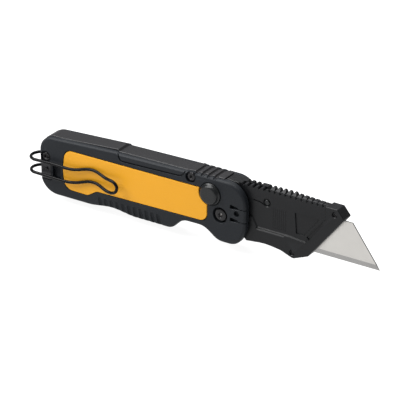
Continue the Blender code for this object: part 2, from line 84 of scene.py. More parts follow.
# Places on the side, as (x, z)
BUTTON = (-5.1, 8.9)
SPINE_SCREW = (-15.3, 14.3)
BUTT_SCREW_LEFT = (-93.2, 4.3)
BUTT_SCREW_RIGHT = (-88.4, -0.6)
RELEASE = (21.4, 10.1)
FRONT_RIVET = (55.2, 13.5)
LOW_RIVET = (34.4, -10.1)

# Handle
BUTT_X = -96.5           # rear end
STEP_X = -54.2           # the spine steps down in front of here
SHELL_ROUND = 1.35       # radius along the shells' outer edges
INLAY_GAP = 0.3          # gap round an inlay
THUMB_X = -12.8          # rearmost of the thumb grooves across the spine
THUMB_PITCH = 3.2
THUMB_COUNT = 4
GRIP_X = -63.9           # rearmost of the grip grooves along the belly
GRIP_PITCH = 3.12
GRIP_COUNT = 11
DRIVE_DEPTH = 0.8        # of the drives in the screws' heads

# Belt clip
WIRE_RADIUS = 0.72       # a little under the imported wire's, to stay inside it
LOOP_RADIUS = 4.6        # of the two loops round the butt
LOOP_X = -97.4           # the loops' centre
CLIP_SIDE_Y = -8.3       # where the wire leaves the loops, on the near side
CLIP_TAIL_Y = CLIP_SIDE_Y + 2 * LOOP_RADIUS   # where its tails enter the butt
CLIP_HIGH_Z = 2.6        # the upper loop
CLIP_LOW_Z = -3.8        # the lower loop

# Carrier
TANG_RADIUS = 7.0        # round the pivot
TOOTH_PITCH = 2.67
TOOTH_FOOT = 0.3         # half width of a groove between teeth, at its floor
TOOTH_MOUTH = 1.0        # and at its mouth

# Blade
BLADE_TIP_X = 76.4
BLADE_LENGTH = 61.0      # along the edge
BLADE_BACK = 33.5        # along the back
BLADE_HEIGHT = 18.9
BLADE_EDGE_Z = -8.2
BLADE_HALF = 0.3         # half thickness
EDGE_HALF = 0.03         # half thickness left at the edge
BEVEL = 2.4              # height of the ground bevel

# Studio, in metres where a comment says nothing else
FLOOR_DROP = 3.8         # millimetres that the floor lies below the handle's belly
FLOOR_RADIUS = 3.0
FLOOR_SIDES = 12
FLOOR_GLOW = 0.92        # strength of its emission
WORLD_LIGHT = 0.38       # strength of the even light from all round
CAMERA_AZIMUTH = 32.973  # degrees from the near side towards the blade's tip
CAMERA_ELEVATION = 26.039  # degrees above the level
CAMERA_DISTANCE = 1.2
CAMERA_LENS = 246.74     # millimetres of focal length
CAMERA_CENTRE = (-14.35, 0, 1.013)   # millimetres from the pivot


# ---------------------------------------------------------------- outlines

def fillet(corners, degrees=9):
    """Outline points from corners (x, z, radius), each rounded by an arc of that radius.

    The arcs have a point every so many degrees.
    """
    points = []
    count = len(corners)
    for index, (x, z, radius) in enumerate(corners):
        here = Vector((x, z))
        before = Vector(corners[index - 1][:2]) - here
        after = Vector(corners[(index + 1) % count][:2]) - here
        angle = before.angle(after)
        if radius == 0 or angle > math.radians(178):
            points.append(here)
            continue
        # An arc takes less than half of the straight on either hand, so that two never meet.
        reach = min(radius / math.tan(angle / 2), 0.49 * before.length, 0.49 * after.length)
        radius = reach * math.tan(angle / 2)
        before.normalize()
        after.normalize()
        centre = here + (before + after).normalized() * radius / math.sin(angle / 2)
        start = here + before * reach - centre
        end = here + after * reach - centre
        turn = math.pi - angle
        if start.x * end.y - start.y * end.x < 0:
            turn = -turn
        steps = max(2, round(abs(turn) / math.radians(degrees)))
        for step in range(steps + 1):
            part = turn * step / steps
            cos, sin = math.cos(part), math.sin(part)
            points.append(centre + Vector((start.x * cos - start.y * sin,
                                           start.x * sin + start.y * cos)))
    return points


def arc(x, z, radius, first, last, steps):
    """Points along an arc, between two angles in degrees."""
    made = []
    for step in range(steps + 1):
        angle = math.radians(first + (last - first) * step / steps)
        made.append(Vector((x + radius * math.cos(angle), z + radius * math.sin(angle))))
    return made


def circle(x, z, radius, steps=48):
    return arc(x, z, radius, 360, 360 / steps, steps - 1)


def inset(points, amount):
    """The outline moved inwards by an amount: outwards when it is negative."""
    if amount == 0:
        return list(points)
    moved = []
    count = len(points)
    for index, here in enumerate(points):
        a = (here - points[index - 1]).normalized()
        b = (points[(index + 1) % count] - here).normalized()
        first = Vector((a.y, -a.x))
        second = Vector((b.y, -b.x))
        scale = 1 + max(first.dot(second), -0.4)  # keeps a sharp corner from shooting out
        moved.append(here + (first + second) * amount / scale)
    return moved


def clean(points, apart=0.002):
    """The points without those that lie on the one before them."""
    kept = []
    for point in points:
        if not kept or (point - kept[-1]).length > apart:
            kept.append(point)
    if (kept[0] - kept[-1]).length < apart:
        kept.pop()
    return kept


def handle_outline():
    """The handle's outline: along the spine, round the pivot's end, and back along the belly."""
    return fillet([
        (BUTT_X, 13.9, 7), (STEP_X - 0.4, 16.1, 0), (STEP_X + 0.4, 15.6, 0), (-19.5, 16.3, 20),
        (-11.5, 16.5, 10), (13.1, 16.5, 11), (12.8, -4.5, 12), (8.9, -13, 7), (-1.6, -13, 8),
        (-8.6, -7.8, 9), (-19.9, -7.9, 7), (-25.7, -13.5, 5), (-46.5, -13.5, 20), (-57.5, -11.8, 25),
        (-68.5, -13.5, 20), (BUTT_X, -13.5, 9)], 6)


def panel_outline(margin=0.0):
    """An inlay's outline, with a round bite out of it behind the button."""
    m = margin
    body = fillet([
        (-6.8 + m, 3.0, 0), (-6.8 + m, -4.9 - m, 3.9), (-65.3, -5.8 - m, 3), (-70.2, -8.9 - m, 3),
        (-82.7 - m, -8.7 - m, 4.5), (-83.6 - m, 0.5, 12), (-82.3 - m, 10.4 + m, 4.3),
        (-11.0 + m, 10.6 + m, 0)])
    bite = 5.9
    return body + arc(*BUTTON, bite - m, 165, 253, 14)


def carrier_outline(side):
    """A carrier half's outline. The far half's back rises a little towards its middle."""
    rise = [(34.4, 16.72, 0), (34.9, 16.4, 0)] if side > 0 else []
    shell = fillet([(1.35, 11.4, 0), (1.35, 16.85, 0.5), (8.2, 16.4, 4)] + rise + [
        (56.8, 16.4, 0.9), (60.1, 12.3, 0.7), (42.6, -9.7, 1.0), (35.0, -12.8, 2.5),
        (28.8, -10.5, 5), (21.0, -9.4, 25), (11.3, -10.5, 0.6), (5.4, -4.5, 0)])
    return shell + arc(0, 0, TANG_RADIUS, -42, -270, 30)


def heading(path, index):
    """The way that an open path runs at one of its points."""
    return path[min(index + 1, len(path) - 1)] - path[max(index - 1, 0)]


def strip(points, half):
    """A band of the given half width along an open path."""
    left, right = [], []
    path = [Vector(p) for p in points]
    for index, here in enumerate(path):
        ahead = heading(path, index)
        normal = Vector((-ahead.y, ahead.x)).normalized() * half
        left.append(here + normal)
        right.append(here - normal)
    return left + right[::-1]


# ---------------------------------------------------------------- solids

def link(name, shape):
    """A mesh object made of a shape, with its faces pointing outwards."""
    bmesh.ops.recalc_face_normals(shape, faces=shape.faces)
    mesh = bpy.data.meshes.new(name)
    shape.to_mesh(mesh)
    shape.free()
    made = bpy.data.objects.new(name, mesh)
    bpy.context.scene.collection.objects.link(made)
    return made


def loft(name, rings):
    """Rings of 3-D points joined one to the next, with a cap on the first and the last."""
    shape = bmesh.new()
    rows = [[shape.verts.new(point) for point in ring] for ring in rings]
    count = len(rows[0])
    for low, high in zip(rows, rows[1:]):
        for i in range(count):
            j = (i + 1) % count
            shape.faces.new((low[i], low[j], high[j], high[i]))
    shape.faces.new(rows[0])
    shape.faces.new(rows[-1])
    return link(name, shape)


def plate(name, outline, levels):
    """An outline in X and Z, stacked along Y: levels are (y, inset)."""
    points = clean(outline)
    return loft(name, [[(p.x, y, p.y) for p in inset(points, amount)] for y, amount in levels])


def round_angles(steps):
    """Even angles once round a circle."""
    return [2 * math.pi * step / steps for step in range(steps)]


def rod(name, start, end, radius, steps=24):
    """A round bar between two points."""
    start, end = Vector(start), Vector(end)
    turn = (end - start).to_track_quat("Z", "Y").to_matrix()
    ring = [turn @ Vector((radius * math.cos(a), radius * math.sin(a), 0))
            for a in round_angles(steps)]
    return loft(name, [[start + p for p in ring], [end + p for p in ring]])


def turned(name, x, z, side, profile, steps=56):
    """A piece turned about Y. The profile is (radius, height), and height counts outwards."""
    shape = bmesh.new()
    rows = []
    for radius, height in profile:
        if radius == 0:
            rows.append([shape.verts.new((x, side * height, z))])
            continue
        rows.append([shape.verts.new((x + radius * math.cos(a), side * height,
                                      z + radius * math.sin(a))) for a in round_angles(steps)])
    for low, high in zip(rows, rows[1:]):
        for i in range(steps):
            j = (i + 1) % steps
            if len(low) == 1:
                shape.faces.new((low[0], high[j], high[i]))
            elif len(high) == 1:
                shape.faces.new((low[i], low[j], high[0]))
            else:
                shape.faces.new((low[i], low[j], high[j], high[i]))
    return link(name, shape)


def cut(solid, tools):
    """Subtracts the tools, removes them, and keeps the result as the solid's mesh."""
    for tool in tools:
        step = solid.modifiers.new("cut", "BOOLEAN")
        step.operation = "DIFFERENCE"
        step.solver = "EXACT"
        step.object = tool
    bpy.context.view_layer.update()
    graph = bpy.context.evaluated_depsgraph_get()
    mesh = bpy.data.meshes.new_from_object(solid.evaluated_get(graph))
    solid.modifiers.clear()
    old = solid.data
    solid.data = mesh
    bpy.data.meshes.remove(old)
    for tool in tools:
        bpy.data.objects.remove(tool, do_unlink=True)
    if not mesh.polygons:
        raise ValueError(f"a cut left nothing of {solid.name}")


def well(name, outline, side, floor, face, flare=0.13):
    """A cutter from a floor height out through a face, with its mouth broken by a small chamfer."""
    return plate(name, outline, [(side * floor, 0), (side * (face - flare), 0),
                                 (side * face, -flare), (side * (face + PAST), -flare)])


def finish(piece, body, look, node, sharp=32):
    """Moves a piece to its place in the frame, shades it, ties it to a body, and hides the imported
    node that it replaces.
    """
    mesh = piece.data
    mesh.name = piece.name
    mesh.transform(Matrix.Translation(PIVOT) @ Matrix.Scale(MM, 4))
    mesh.shade_smooth()
    mesh.set_sharp_from_angle(angle=math.radians(sharp))
    mesh.materials.clear()
    mesh.materials.append(look)
    weighted = piece.modifiers.new("weighted_normals", "WEIGHTED_NORMAL")
    weighted.keep_sharp = True
    weighted.weight = 100
    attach(piece, body)
    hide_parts(node)


# ---------------------------------------------------------------- materials

def add_noise(tree, size, detail, source):
    """Noise with grains of about a size in millimetres."""
    node = tree.nodes.new("ShaderNodeTexNoise")
    node.inputs["Scale"].default_value = 1 / (size * MM)
    node.inputs["Detail"].default_value = detail
    tree.links.new(source, node.inputs["Vector"])
    return node.outputs["Fac"]


def add_range(tree, value, start, end, low, high):
    """A value's stretch from start to end, made to run from low to high."""
    node = tree.nodes.new("ShaderNodeMapRange")
    node.inputs["From Min"].default_value = start
    node.inputs["From Max"].default_value = end
    node.inputs["To Min"].default_value = low
    node.inputs["To Max"].default_value = high
    tree.links.new(value, node.inputs["Value"])
    return node.outputs["Result"]


def add_tone(tree, colour, tone, fine, broad):
    """The colour, swung lighter and darker by the fine grain and the broad patches."""
    mix = tree.nodes.new("ShaderNodeMix")
    mix.data_type = "RGBA"
    mix.inputs["A"].default_value = (*[c * (1 - tone) for c in colour], 1)
    mix.inputs["B"].default_value = (*[min(1, c * (1 + tone)) for c in colour], 1)
    blend = tree.nodes.new("ShaderNodeMath")
    blend.operation = "MULTIPLY_ADD"
    blend.inputs[1].default_value = 0.5
    tree.links.new(fine, blend.inputs[0])
    tree.links.new(add_range(tree, broad, 0.3, 0.7, 0.0, 0.5), blend.inputs[2])
    tree.links.new(blend.outputs[0], mix.inputs["Factor"])
    return mix.outputs["Result"]


def add_wear(tree, shade, colour, wear):
    """A lighter colour along the edges that stand out, where a finish is rubbed."""
    edge = tree.nodes.new("ShaderNodeNewGeometry")
    rub = tree.nodes.new("ShaderNodeMix")
    rub.data_type = "RGBA"
    rub.inputs["B"].default_value = (*[min(1, c * 3) for c in colour], 1)
    worn = add_range(tree, edge.outputs["Pointiness"], 0.53, 0.62, 0.0, wear)
    tree.links.new(worn, rub.inputs["Factor"])
    tree.links.new(shade, rub.inputs["A"])
    return rub.outputs["Result"]


def surface(name, colour, rough, metallic=0.0, specular=0.5, grain=0.0, grain_size=0.25,
            stretch=(1, 1, 1), tone=0.15, patch_size=14.0, wear=0.0):
    """A procedural finish: broad tone patches, fine grain in bump and roughness, edge wear.

    grain is the bump's depth, grain_size its scale and patch_size that of the patches, all in
    millimetres. stretch draws the grain out along an axis, as brushing does. tone is how far
    the colour swings, and wear how much the edges are rubbed.
    """
    made = bpy.data.materials.new(name)
    made.use_nodes = True
    tree = made.node_tree
    shader = tree.nodes["Principled BSDF"]
    shader.inputs["Metallic"].default_value = metallic
    shader.inputs["Specular IOR Level"].default_value = specular
    place = tree.nodes.new("ShaderNodeTexCoord")
    spread = tree.nodes.new("ShaderNodeMapping")
    spread.inputs["Scale"].default_value = stretch
    tree.links.new(place.outputs["Object"], spread.inputs["Vector"])
    fine = add_noise(tree, grain_size, 3, spread.outputs["Vector"])
    broad = add_noise(tree, patch_size, 2, place.outputs["Object"])
    shade = add_tone(tree, colour, tone, fine, broad)
    if wear:
        shade = add_wear(tree, shade, colour, wear)
    tree.links.new(shade, shader.inputs["Base Color"])
    swing = 0.08
    roughness = add_range(tree, fine, 0.3, 0.7, rough - swing, rough + swing)
    tree.links.new(roughness, shader.inputs["Roughness"])
    bump = tree.nodes.new("ShaderNodeBump")
    bump.inputs["Strength"].default_value = 1.0
    bump.inputs["Distance"].default_value = grain * MM
    tree.links.new(fine, bump.inputs["Height"])
    tree.links.new(bump.outputs["Normal"], shader.inputs["Normal"])
    return made


BRUSHED = (1, 1, 0.03)   # the grain is drawn out upwards, as grinding across the blade leaves it

LOOKS = {
    "shell": surface("shell_plastic", (0.0108, 0.0125, 0.0152), 0.5, specular=0.14,
                     grain=0.012, grain_size=0.35, tone=0.1, wear=0.15),
    "inner": surface("inner_plastic", (0.006, 0.0065, 0.008), 0.55, specular=0.15,
                     grain=0.01, grain_size=0.4),
    "panel": surface("inlay_paint", (0.64, 0.292, 0.0088), 0.45, specular=0.25,
                     grain=0.006, grain_size=0.3, tone=0.04, patch_size=22),
    "rail": surface("rail_coating", (0.009, 0.0088, 0.0102), 0.42, specular=0.3,
                    grain=0.006, grain_size=0.22, tone=0.12, wear=0.3),
    "carrier": surface("carrier_coating", (0.005, 0.0053, 0.0062), 0.36, specular=0.18,
                       grain=0.006, grain_size=0.25, tone=0.12, wear=0.25),
    "button": surface("button_coating", (0.0065, 0.0073, 0.008), 0.3, specular=0.28,
                      grain=0.003, grain_size=0.3),
    "screw": surface("screw_black_oxide", (0.006, 0.0058, 0.0068), 0.2, metallic=0.3, specular=0.4,
                     grain=0.003, grain_size=0.12, tone=0.2, wear=0.5),
    "blade": surface("blade_steel_ground", (0.5, 0.487, 0.465), 0.36, metallic=1.0,
                     grain=0.003, grain_size=0.25, stretch=BRUSHED, tone=0.1),
    # Darker steel for the bevel: painted shade, standing in for the duller reflection that the bevel
    # shows.
    "edge": surface("blade_bevel_painted_shade", (0.3, 0.295, 0.29), 0.3, metallic=1.0,
                    grain=0.004, grain_size=0.2, stretch=BRUSHED, tone=0.12),
    "blank_rim": surface("blade_blanked_rim", (0.14, 0.135, 0.13), 0.45, metallic=1.0,
                         grain=0.006, grain_size=0.15, tone=0.15),
    # A light metal for the drives' floors: a painted glint in the dark screw heads.
    "drive": surface("screw_drive_painted_glint", (0.24, 0.235, 0.23), 0.3, metallic=1.0,
                     grain=0.003, grain_size=0.1),
    "wire": surface("clip_wire_gloss", (0.003, 0.003, 0.0036), 0.22, specular=0.08,
                    grain=0.002, grain_size=0.2, tone=0.15),
    "spring": surface("spring_wire", (0.45, 0.45, 0.46), 0.3, metallic=1.0,
                      grain=0.002, grain_size=0.15),
    "brass": surface("washer_brass_turned", (0.62, 0.43, 0.19), 0.3, metallic=1.0,
                     grain=0.002, grain_size=0.12),
    "steel": surface("steel_turned", (0.5, 0.49, 0.47), 0.3, metallic=1.0,
                     grain=0.002, grain_size=0.12),
}


# ---------------------------------------------------------------- handle

def rim(side, outer, inner, radius):
    """Levels of a plate whose outer edge is rounded by a quarter circle."""
    levels = [(side * inner, 0)]
    steps = 6
    for step in range(steps + 1):
        angle = math.pi / 2 * step / steps
        level = outer - radius * (1 - math.sin(angle))
        levels.append((side * level, radius * (1 - math.cos(angle))))
    return levels


def thumb_grooves(start, end, radius):
    """Cutters for the grooves across the spine, each from start to end, given as (y, z)."""
    made = []
    for index in range(THUMB_COUNT):
        x = THUMB_X + index * THUMB_PITCH
        made.append(rod("thumb_groove", (x, *start), (x, *end), radius))
    return made


def grip_grooves(side):
    """Cutters for the slanted grooves along the belly."""
    made = []
    for index in range(GRIP_COUNT):
        x = GRIP_X + index * GRIP_PITCH
        made.append(rod("grip_groove", (x, side * 6.95, -8.3), (x + 1.5, side * 6.1, -14.1), 1.05))
    return made


def spine_edge(side):
    """A fine line under the middle of the spine, and the face above it, a little deeper."""
    line = [(-54.3, 17.2), (-53.3, 14.6), (-52.5, 13.1), (-51.3, 12.6), (-40, 12.9), (-22.0, 13.5),
            (-20.2, 13.9), (-18.9, 15.0), (-17.6, 17.4)]
    above = [Vector(p) for p in line + [(-17.6, 19), (-54.3, 19)]]
    return [well("line", strip(line, 0.3), side, FACE_Y - 0.8, FACE_Y, 0.06),
            plate("step", above, [(side * (FACE_Y - 0.18), 0), (side * (FACE_Y + PAST), 0)])]


def shell_cuts(side):
    """What both shells share: the inlay's pocket, the rail's rebate, the edge and the grooves."""
    pocket = well("pocket", panel_outline(INLAY_GAP), side, POCKET_Y, FACE_Y, 0.1)
    outline = fillet([(-110, 12.6, 0), (-110, 30, 0), (0.3, 30, 0), (0.3, 12.6, 0)])
    low, high = sorted((side * 2.0, side * (RAIL_Y + 0.12)))
    rebate = plate("rebate", outline, [(low, 0), (high, 0)])
    thumb = thumb_grooves((side * 3.0, 17.05), (side * 8.0, 16.55), 1.0)
    return [pocket, rebate] + spine_edge(side) + grip_grooves(side) + thumb


def screw_wells(side, butt, spine_radius):
    """Wells for the heads of the pivot, spine and butt screws, and the pivot's bore."""
    return [
        well("pivot_well", circle(0, 0, 3.7), side, 4.2, FACE_Y),
        well("spine_well", circle(*SPINE_SCREW, spine_radius), side, SEAT_Y, FACE_Y),
        well("butt_well", circle(*butt, 2.75), side, SEAT_Y, FACE_Y),
        plate("pivot_bore", circle(0, 0, 2.8), [(side * 2, 0), (side * 5, 0)])]


def tongue_cuts():
    """The tongue in front of the pivot: two slits with wider ends, and a hole between them."""
    made = []
    for z in (5.5, -0.6):
        wide = fillet([(5.0, z + 1.0, 0.6), (8.9, z + 0.35, 0.4), (9.3, z - 0.65, 0.3),
                       (5.0, z - 1.05, 0.6)])
        slit = fillet([(8.6, z - 0.1, 0), (17, z - 0.2, 0), (17, z - 0.6, 0), (8.6, z - 0.5, 0)])
        made.append(well("slit_end", wide, -1, 4.6, FACE_Y, 0.15))
        made.append(well("slit", slit, -1, 4.9, FACE_Y, 0.04))
    made.append(well("tongue_hole", circle(8.4, 2.75, 1.35, 28), -1, 4.9, FACE_Y, 0.12))
    return made


def butt_cuts():
    """The keeper's recess, which is open to the rear, and the hollow in front of it."""
    recess = fillet([(-100, 1.5, 0), (-90.1, 1.5, 0.5), (-90.1, -6.9, 0.5), (-100, -6.9, 0)])
    hollow = fillet([(-89.4, 1.4, 0.4), (-84.9, 1.4, 0.4), (-84.9, -5.6, 0.4), (-89.4, -5.6, 0.4)])
    return [well("keeper_recess", recess, -1, 5.1, FACE_Y, 0.08),
            well("butt_hollow", hollow, -1, 4.4, FACE_Y, 0.1)]


def make_near_shell():
    levels = rim(-1, FACE_Y, SLOT_Y, SHELL_ROUND)
    shell = plate("handle_shell_left_detail", handle_outline(), levels)
    cut(shell, shell_cuts(-1))
    button_well = well("button_well", circle(*BUTTON, 5.3), -1, 4.3, FACE_Y, 0.2)
    cut(shell, screw_wells(-1, BUTT_SCREW_LEFT, 2.6) + [button_well] + tongue_cuts() + butt_cuts())
    finish(shell, "handle", LOOKS["shell"], "handle_shell_left")


def make_far_shell():
    levels = rim(1, FACE_Y, SLOT_Y, SHELL_ROUND)
    shell = plate("handle_shell_right_detail", handle_outline(), levels)
    cut(shell, shell_cuts(1))
    plunger_pocket = plate("plunger_pocket", circle(*BUTTON, 3.3), [(SLOT_Y - 1, 0), (5.5, 0)])
    cut(shell, screw_wells(1, BUTT_SCREW_RIGHT, 2.2) + [plunger_pocket])
    finish(shell, "handle", LOOKS["shell"], "handle_shell_right")


def make_panels():
    for name, side in (("left", -1), ("right", 1)):
        levels = [(side * INLAY_BACK_Y, 0), (side * 6.17, 0), (side * 6.28, 0.05),
                  (side * INLAY_Y, 0.16)]
        panel = plate(f"side_panel_{name}_detail", panel_outline(), levels)
        finish(panel, "handle", LOOKS["panel"], f"side_panel_{name}")


def make_rail():
    """The rail along the spine. It turns down at the butt, and has a narrow foot below."""
    butt = arc(-88.9, 7.1, 7.7, 168, 94, 12)
    outline = butt + fillet([
        (-84.0, 14.75, 0), (STEP_X - 0.5, 16.9, 0), (STEP_X + 0.2, 16.0, 0), (-18.4, 16.5, 0),
        (-17.9, 16.7, 0), (-14.8, 16.95, 0), (1.0, 17.0, 0.5), (1.0, 12.9, 0), (-12.1, 12.9, 0),
        (-12.7, 11.6, 0), (-17.9, 11.6, 0), (-18.5, 12.9, 0), (-84.0, 12.9, 3), (-90.5, 8.4, 0)], 5)
    near, far = rim(-1, RAIL_Y, 0, 0.45), rim(1, RAIL_Y, 0, 0.45)
    rail = plate("spine_rail_detail", outline, near[::-1] + far[1:])
    cut(rail, thumb_grooves((-6, 17.12), (6.1, 17.13), 1.05))
    foot_z = 12.95
    beside = [Vector(p) for p in ((-110, 0), (-110, foot_z), (5, foot_z), (5, 0))]
    cut(rail, [plate("trim", beside, [(-RAIL_Y - 2, 0), (-RAIL_FOOT_Y, 0)]),
               plate("trim", beside, [(RAIL_FOOT_Y, 0), (RAIL_Y + 2, 0)])])
    finish(rail, "handle", LOOKS["rail"], "spine_spacer")


def make_keeper():
    """The small plate at the butt, with a hole and a slot in it."""
    outline = fillet([(-95.6, 1.2, 0.5), (-90.4, 1.2, 0.4), (-90.4, -6.6, 0.4), (-95.6, -6.6, 0.5)])
    slot = fillet([(-94.2, -1.25, 0), (-94.2, -0.95, 0), (-92.8, -0.95, 0), (-92.8, -1.25, 0)])
    low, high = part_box("clip_keeper")
    near = (low[1] - PIVOT.y) / MM
    far = (high[1] - PIVOT.y) / MM
    keeper = plate("clip_keeper_detail", outline, [(far, 0), (near + 0.15, 0), (near, 0.15)])
    cut(keeper, [well("hole", circle(-92.1, -1.1, 0.75, 24), -1, -near - 0.6, -near, 0.08),
                 plate("slot", slot, [(near + 0.3, 0), (near - 1, 0)])])
    finish(keeper, "handle", LOOKS["rail"], "clip_keeper")


def star(x, z, radius, steps=72):
    """A six-lobed drive outline."""
    points = []
    for angle in round_angles(steps):
        reach = radius * (0.86 + 0.14 * math.cos(6 * angle))
        points.append(Vector((x + reach * math.cos(angle), z - reach * math.sin(angle))))
    return points


def make_screw(name, place, side, head, top, height, shank, end, drive):
    """A button-head screw with a six-lobed drive, whose floor is given a light metal as a painted
    glint.

    head, shank and drive are radii. top and end are the heights of the head's top and of the
    shank's far end, counted outwards, and height is how thick the head is.
    """
    under = top - height
    profile = [(0, end), (shank, end), (shank, under), (head, under),
               (head, top - 0.42), (head * 0.965, top - 0.2), (head * 0.88, top - 0.06),
               (head * 0.76, top), (drive * 1.25, top), (drive * 1.12, top - 0.12),
               (0, top - 0.12)]
    screw = turned(f"{name}_detail", *place, side, profile)
    floor = side * (top - DRIVE_DEPTH)
    levels = [(floor, 0.35 * drive), (side * (top - 0.5), 0), (side * (top + 1), 0)]
    cut(screw, [plate("drive", star(*place, drive), levels)])
    finish(screw, "handle", LOOKS["screw"], name, 28)
    # The drive's floor takes the light metal, a painted glint.
    screw.data.materials.append(LOOKS["drive"])
    for face in screw.data.polygons:
        if abs(face.center.y - PIVOT.y - floor * MM) < 0.01 * MM:
            face.material_index = 1


def make_fasteners():
    make_screw("pivot_screw", (0, 0), -1, head=2.8, top=6.0, height=1.65,
               shank=1.5, end=-2.8, drive=1.2)
    make_screw("spine_screw", SPINE_SCREW, -1, head=1.95, top=5.75, height=0.7,
               shank=1.0, end=-3.4, drive=0.85)
    for name, place, side in (("left", BUTT_SCREW_LEFT, -1), ("right", BUTT_SCREW_RIGHT, 1)):
        make_screw(f"butt_screw_{name}", place, side, head=2.0, top=5.8, height=0.7,
                   shank=1.0, end=1.2, drive=0.85)


def make_button():
    cap = [(0, 8.25), (2.4, 8.3), (3.6, 8.34), (3.92, 8.28), (4.12, 8.1), (4.3, 7.75), (4.5, 7.2),
           (4.7, 6.85), (4.95, 6.65), (5.12, 6.5), (5.12, 6.0), (0, 6.0)]
    button = turned("lock_button_detail", *BUTTON, -1, cap, 72)
    finish(button, "lock_button", LOOKS["button"], "lock_button", 50)


# ---------------------------------------------------------------- belt clip

def clip_path():
    """The wire's centre line: tail, upper loop, out along the side, the U bend, and back."""
    # Both runs lean in towards the inlay and then lift away from it, up to the bend.
    out = [(-88.2, -8.3, 2.9), (-82.1, -8.3, 2.7), (-78.0, -8.1, 2.7), (-74.6, -7.8, 3.2),
           (-71.6, -7.4, 4.0), (-69.2, -7.3, 4.6), (-66.7, -7.3, 4.9), (-64.2, -7.5, 4.7),
           (-61.4, -7.9, 4.0), (-58.6, -8.6, 3.5), (-55.6, -9.4, 3.5)]
    bend = [(-53.4, -9.8, 3.2), (-52.1, -10.0, 2.2), (-51.7, -10.0, 0.9), (-52.1, -10.0, -0.6),
            (-53.3, -9.8, -1.8), (-55.1, -9.4, -2.5)]
    back = [(-57.6, -9.0, -2.6), (-60.2, -8.4, -2.1), (-62.4, -8.0, -1.4), (-64.6, -7.6, -1.0),
            (-67.0, -7.4, -1.1), (-69.4, -7.3, -1.5), (-71.8, -7.4, -2.3), (-75.0, -7.7, -3.3),
            (-78.4, -8.0, -3.9), (-82.0, -8.3, -4.0), (-88.3, -8.3, -3.9)]
    middle_y = (CLIP_SIDE_Y + CLIP_TAIL_Y) / 2
    upper = [(p.x, p.y, CLIP_HIGH_Z) for p in arc(LOOP_X, middle_y, LOOP_RADIUS, 90, 270, 12)]
    lower = [(p.x, p.y, CLIP_LOW_Z) for p in arc(LOOP_X, middle_y, LOOP_RADIUS, 270, 90, 12)]
    first = [(x, CLIP_TAIL_Y, CLIP_HIGH_Z) for x in (-91.5, -94.5)]
    last = [(x, CLIP_TAIL_Y, CLIP_LOW_Z) for x in (-94.5, -91.5)]
    return [Vector(p) for p in first + upper + out + bend + back + lower + last]


def smooth_path(points, steps=4):
    """A Catmull-Rom curve through the points."""
    made = []
    for index in range(len(points) - 1):
        a = points[max(index - 1, 0)]
        b, c = points[index], points[index + 1]
        d = points[min(index + 2, len(points) - 1)]
        for step in range(steps):
            t = step / steps
            made.append(0.5 * ((2 * b) + (c - a) * t + (2 * a - 5 * b + 4 * c - d) * t * t
                               + (3 * b - a - 3 * c + d) * t ** 3))
    return made + [points[-1]]


def make_clip():
    path = smooth_path(clip_path())
    angles = round_angles(20)
    rings = []
    up = Vector((0, 0, 1))
    for index, here in enumerate(path):
        along = heading(path, index).normalized()
        up = (up - along * up.dot(along)).normalized()
        across = along.cross(up)
        rings.append([here + (up * math.cos(a) + across * math.sin(a)) * WIRE_RADIUS
                      for a in angles])
    wire = loft("belt_clip_detail", rings)
    finish(wire, "belt_clip", LOOKS["wire"], "belt_clip", 60)


# ---------------------------------------------------------------- carrier

def tooth_places(side):
    """Where the grooves across the carrier's back lie.

    The far row is staggered by about half a tooth. It leaves out one groove, which makes a wide
    tooth behind the valley.
    """
    if side < 0:
        return [9.4 + TOOTH_PITCH * k for k in range(16)]
    return [10.65 + TOOTH_PITCH * k for k in range(3)] + [21.3 + TOOTH_PITCH * k for k in range(12)]


def tooth_groove(x):
    """The outline of one groove between teeth, from a narrow foot to a wide mouth."""
    foot, mouth = TOOTH_FOOT, TOOTH_MOUTH
    return fillet([(x - foot, 15.35, 0.2), (x + foot, 15.35, 0.2), (x + 0.5, 15.9, 0.5),
                   (x + mouth, 16.6, 0), (x + mouth, 18, 0), (x - mouth, 18, 0),
                   (x - mouth, 16.6, 0), (x - 0.5, 15.9, 0.5)])


def valley():
    """The trough between the two rows of teeth: steep on the near side, sloping on the far side."""
    section = [(0.1, 15.5), (2.35, 16.9), (2.35, 18), (-1.7, 18), (-1.7, 16.9), (-1.2, 15.5)]
    return loft("valley", [[(x, y, z) for y, z in section] for x in (20.6, 51.2)])


def carrier_cuts(side):
    """What both carrier halves share: the pivot's bore, the rivets' holes and the teeth."""
    tools = [
        plate("pivot_bore", circle(0, 0, 2.6), [(side * 0.1, 0), (side * 5, 0)]),
        plate("washer_seat", circle(0, 0, 5.3), [(side * 2.2, 0), (side * 5, 0)])]
    for place in (FRONT_RIVET, LOW_RIVET):
        tools.append(well("rivet_hole", circle(*place, 1.15, 28), side, 0.1, CARRIER_Y, 0.3))
    low, high = sorted((side * -0.5, side * 5))
    for x in tooth_places(side):
        tools.append(plate("tooth_groove", tooth_groove(x), [(low, 0), (high, 0)]))
    return tools


